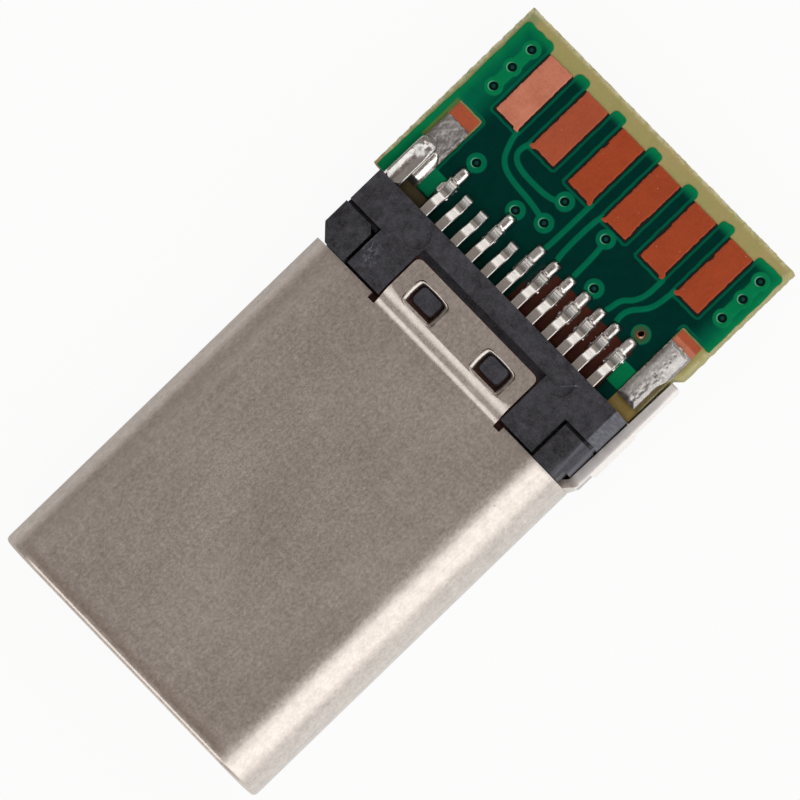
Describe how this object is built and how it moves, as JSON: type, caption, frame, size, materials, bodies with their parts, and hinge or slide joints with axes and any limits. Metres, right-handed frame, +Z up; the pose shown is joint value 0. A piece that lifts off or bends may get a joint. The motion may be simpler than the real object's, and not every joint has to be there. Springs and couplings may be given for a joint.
{
  "type": "reversible cable plug with wire board",
  "caption": "Bare reversible cable plug: drawn steel shell, black insulator and contact carriers, side arm, and a green wire board with tinned contact tails and bare copper wire pads",
  "frame": {"origin": "on the plane the plug lies on, under the middle of its length and of the shell's width", "axes": "+X to the right across the mouth, seen from above with the mouth nearest; +Y from the mouth to the wire end; +Z up through the flat of the shell"},
  "size_m": [0.0086, 0.0172, 0.0029],
  "materials": {
    "shell_steel": "matt nickel plate with a fine grain",
    "black_moulding": "moulded, slightly rough",
    "contact_plating": "bright tin over copper alloy",
    "spring_steel": "bright stamped strip",
    "glass_laminate": "woven glass laminate with snapped edges",
    "green_lacquer": "thin gloss lacquer over copper tracks",
    "bare_copper": "bare copper, slightly tarnished",
    "solder": "reflowed solder with an uneven shine"
  },
  "bodies": {
    "root": {"circuit_board": "glass_laminate", "front_insulator": "black_moulding", "latch_plate": "spring_steel", "lower_contact_01": "contact_plating", "lower_contact_02": "contact_plating", "lower_contact_03": "contact_plating", "lower_contact_04": "contact_plating", "lower_contact_05": "contact_plating", "lower_contact_08": "contact_plating", "lower_contact_09": "contact_plating", "lower_contact_10": "contact_plating", "lower_contact_11": "contact_plating", "lower_contact_12": "contact_plating", "lower_contact_carrier": "black_moulding", "lower_ground_pad_left": "bare_copper", "lower_ground_pad_right": "bare_copper", "lower_ground_spring": "spring_steel", "lower_leg_solder": "solder", "lower_pad_solder": "solder", "lower_solder_joint_01": "solder", "lower_solder_joint_04": "solder", "lower_solder_joint_05": "solder", "lower_solder_joint_09": "solder", "lower_solder_joint_12": "solder", "lower_solder_mask": "green_lacquer", "shell": "shell_steel", "upper_contact_01": "contact_plating", "upper_contact_02": "contact_plating", "upper_contact_03": "contact_plating", "upper_contact_04": "contact_plating", "upper_contact_05": "contact_plating", "upper_contact_06": "contact_plating", "upper_contact_07": "contact_plating", "upper_contact_08": "contact_plating", "upper_contact_09": "contact_plating", "upper_contact_10": "contact_plating", "upper_contact_11": "contact_plating", "upper_contact_12": "contact_plating", "upper_contact_carrier": "black_moulding", "upper_ground_pad_left": "bare_copper", "upper_ground_pad_right": "bare_copper", "upper_ground_spring": "spring_steel", "upper_leg_solder": "solder", "upper_pad_solder": "solder", "upper_solder_joint_01": "solder", "upper_solder_joint_04": "solder", "upper_solder_joint_06": "solder", "upper_solder_joint_07": "solder", "upper_solder_joint_08": "solder", "upper_solder_joint_09": "solder", "upper_solder_joint_10": "solder", "upper_solder_joint_11": "solder", "upper_solder_joint_12": "solder", "upper_solder_mask": "green_lacquer", "wire_pad_1": "bare_copper", "wire_pad_2": "bare_copper", "wire_pad_3": "bare_copper", "wire_pad_4": "bare_copper", "wire_pad_5": "bare_copper", "wire_pad_6": "bare_copper"}
  },
  "joints": []
}
